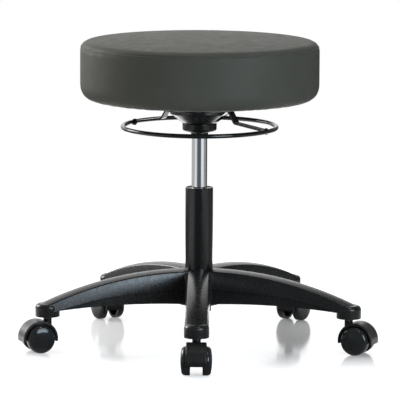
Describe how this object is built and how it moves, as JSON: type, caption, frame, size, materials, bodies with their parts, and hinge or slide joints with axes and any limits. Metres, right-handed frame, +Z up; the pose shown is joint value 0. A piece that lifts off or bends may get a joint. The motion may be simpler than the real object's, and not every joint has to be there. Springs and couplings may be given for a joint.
{
  "type": "adjustable swivel stool",
  "caption": "Round padded stool whose seat swivels and is raised by a gas lift with a ring lever, on a star-shaped base with swivel casters.",
  "frame": {"origin": "on the floor, on the axis of the column", "axes": "+Z up along the column; one arm of the base points to -Y, which is the front"},
  "size_m": [0.6462, 0.6165, 0.5569],
  "materials": {
    "seat_vinyl": "smooth dark warm-grey upholstery vinyl",
    "foam": "open-cell padding",
    "plywood": "unfinished plywood",
    "moulded_nylon": "black, finely textured",
    "column_black": "satin black",
    "mount_black": "satin black",
    "cup_plastic": "glossy black",
    "cylinder_chrome": "bright chrome",
    "steel": "plain steel",
    "inner_plastic": "natural plastic",
    "inner_rubber": "black rubber",
    "caster_plastic": "black, slightly dulled",
    "wheel_plastic": "glossy black",
    "caster_steel": "plated steel"
  },
  "bodies": {
    "base": {"star_base": "moulded_nylon", "column_tube": "column_black", "guide_bushing": "inner_plastic", "bearing_lower_race": "steel", "bearing_cage": "inner_plastic", "bearing_balls": "steel", "caster_front_stem": "caster_steel", "caster_front_grip_ring": "caster_steel", "caster_right_stem": "caster_steel", "caster_right_grip_ring": "caster_steel", "caster_back_right_stem": "caster_steel", "caster_back_right_grip_ring": "caster_steel", "caster_back_left_stem": "caster_steel", "caster_back_left_grip_ring": "caster_steel", "caster_left_stem": "caster_steel", "caster_left_grip_ring": "caster_steel"},
    "rod": {"piston_rod": "steel", "piston": "inner_plastic", "bearing_upper_race": "steel", "bump_stop": "inner_rubber", "clip_washer": "steel", "retaining_clip": "steel"},
    "seat": {"gas_cylinder": "cylinder_chrome", "rod_seal": "inner_rubber", "taper_socket": "mount_black", "hub_cup": "cup_plastic", "mount_plate": "mount_black", "seat_board": "plywood", "seat_foam": "foam", "seat_cover": "seat_vinyl", "tee_nuts": "steel", "bolt_washers": "steel", "seat_bolts": "steel", "staples": "steel"},
    "release_ring": {"release_ring": "mount_black", "crossbar": "mount_black"},
    "valve": {"valve_pin": "steel"},
    "caster_front": {"caster_front_housing": "caster_plastic", "caster_front_axle": "caster_steel"},
    "caster_front_wheel_left": {"caster_front_wheel_left": "wheel_plastic"},
    "caster_front_wheel_right": {"caster_front_wheel_right": "wheel_plastic"},
    "caster_right": {"caster_right_housing": "caster_plastic", "caster_right_axle": "caster_steel"},
    "caster_right_wheel_left": {"caster_right_wheel_left": "wheel_plastic"},
    "caster_right_wheel_right": {"caster_right_wheel_right": "wheel_plastic"},
    "caster_back_right": {"caster_back_right_housing": "caster_plastic", "caster_back_right_axle": "caster_steel"},
    "caster_back_right_wheel_left": {"caster_back_right_wheel_left": "wheel_plastic"},
    "caster_back_right_wheel_right": {"caster_back_right_wheel_right": "wheel_plastic"},
    "caster_back_left": {"caster_back_left_housing": "caster_plastic", "caster_back_left_axle": "caster_steel"},
    "caster_back_left_wheel_left": {"caster_back_left_wheel_left": "wheel_plastic"},
    "caster_back_left_wheel_right": {"caster_back_left_wheel_right": "wheel_plastic"},
    "caster_left": {"caster_left_housing": "caster_plastic", "caster_left_axle": "caster_steel"},
    "caster_left_wheel_left": {"caster_left_wheel_left": "wheel_plastic"},
    "caster_left_wheel_right": {"caster_left_wheel_right": "wheel_plastic"}
  },
  "joints": [
    {"name": "seat_swivel", "type": "hinge", "parent": "base", "child": "rod", "pos_m": [0, 0, 0.06865], "axis": [0, 0, 1], "continuous": true},
    {"name": "height_adjust", "type": "slide", "parent": "rod", "child": "seat", "axis": [0, 0, 1], "range_m": [-0.09, 0]},
    {"name": "ring_tilt", "type": "hinge", "parent": "seat", "child": "release_ring", "pos_m": [0.05298, -0.02817, 0.4238], "axis": [-0.4695, -0.8829, 0], "range_deg": [0, 2.7], "stiffness_Nm_per_rad": 30, "springref_deg": -6.88},
    {"name": "valve_press", "type": "slide", "parent": "seat", "child": "valve", "axis": [0, 0, -1], "range_m": [0, 0.003]},
    {"name": "caster_front_swivel", "type": "hinge", "parent": "base", "child": "caster_front", "pos_m": [0, -0.284, 0.0606], "axis": [0, 0, 1], "continuous": true},
    {"name": "caster_front_wheel_left_roll", "type": "hinge", "parent": "caster_front", "child": "caster_front_wheel_left", "pos_m": [0, -0.302, 0.0254], "axis": [1, 0, 0], "continuous": true},
    {"name": "caster_front_wheel_right_roll", "type": "hinge", "parent": "caster_front", "child": "caster_front_wheel_right", "pos_m": [0, -0.302, 0.0254], "axis": [1, 0, 0], "continuous": true},
    {"name": "caster_right_swivel", "type": "hinge", "parent": "base", "child": "caster_right", "pos_m": [0.2701, -0.08776, 0.0606], "axis": [0, 0, 1], "continuous": true},
    {"name": "caster_right_wheel_left_roll", "type": "hinge", "parent": "caster_right", "child": "caster_right_wheel_left", "pos_m": [0.28673, -0.09465, 0.0254], "axis": [0.3827, 0.9239, 0], "continuous": true},
    {"name": "caster_right_wheel_right_roll", "type": "hinge", "parent": "caster_right", "child": "caster_right_wheel_right", "pos_m": [0.28673, -0.09465, 0.0254], "axis": [0.3827, 0.9239, 0], "continuous": true},
    {"name": "caster_back_right_swivel", "type": "hinge", "parent": "base", "child": "caster_back_right", "pos_m": [0.16693, 0.22976, 0.0606], "axis": [0, 0, 1], "continuous": true},
    {"name": "caster_back_right_wheel_left_roll", "type": "hinge", "parent": "caster_back_right", "child": "caster_back_right_wheel_left", "pos_m": [0.17593, 0.24535, 0.0254], "axis": [-0.866, 0.5, 0], "continuous": true},
    {"name": "caster_back_right_wheel_right_roll", "type": "hinge", "parent": "caster_back_right", "child": "caster_back_right_wheel_right", "pos_m": [0.17593, 0.24535, 0.0254], "axis": [-0.866, 0.5, 0], "continuous": true},
    {"name": "caster_back_left_swivel", "type": "hinge", "parent": "base", "child": "caster_back_left", "pos_m": [-0.16693, 0.22976, 0.0606], "axis": [0, 0, 1], "continuous": true},
    {"name": "caster_back_left_wheel_left_roll", "type": "hinge", "parent": "caster_back_left", "child": "caster_back_left_wheel_left", "pos_m": [-0.17538, 0.24565, 0.0254], "axis": [-0.8829, -0.4695, 0], "continuous": true},
    {"name": "caster_back_left_wheel_right_roll", "type": "hinge", "parent": "caster_back_left", "child": "caster_back_left_wheel_right", "pos_m": [-0.17538, 0.24565, 0.0254], "axis": [-0.8829, -0.4695, 0], "continuous": true},
    {"name": "caster_left_swivel", "type": "hinge", "parent": "base", "child": "caster_left", "pos_m": [-0.2701, -0.08776, 0.0606], "axis": [0, 0, 1], "continuous": true},
    {"name": "caster_left_wheel_left_roll", "type": "hinge", "parent": "caster_left", "child": "caster_left_wheel_left", "pos_m": [-0.28679, -0.0945, 0.0254], "axis": [0.3746, -0.9272, 0], "continuous": true},
    {"name": "caster_left_wheel_right_roll", "type": "hinge", "parent": "caster_left", "child": "caster_left_wheel_right", "pos_m": [-0.28679, -0.0945, 0.0254], "axis": [0.3746, -0.9272, 0], "continuous": true}
  ],
  "couplings": [
    {"joint": "valve_press", "follows": "ring_tilt", "m_per_rad": 0.06}
  ]
}
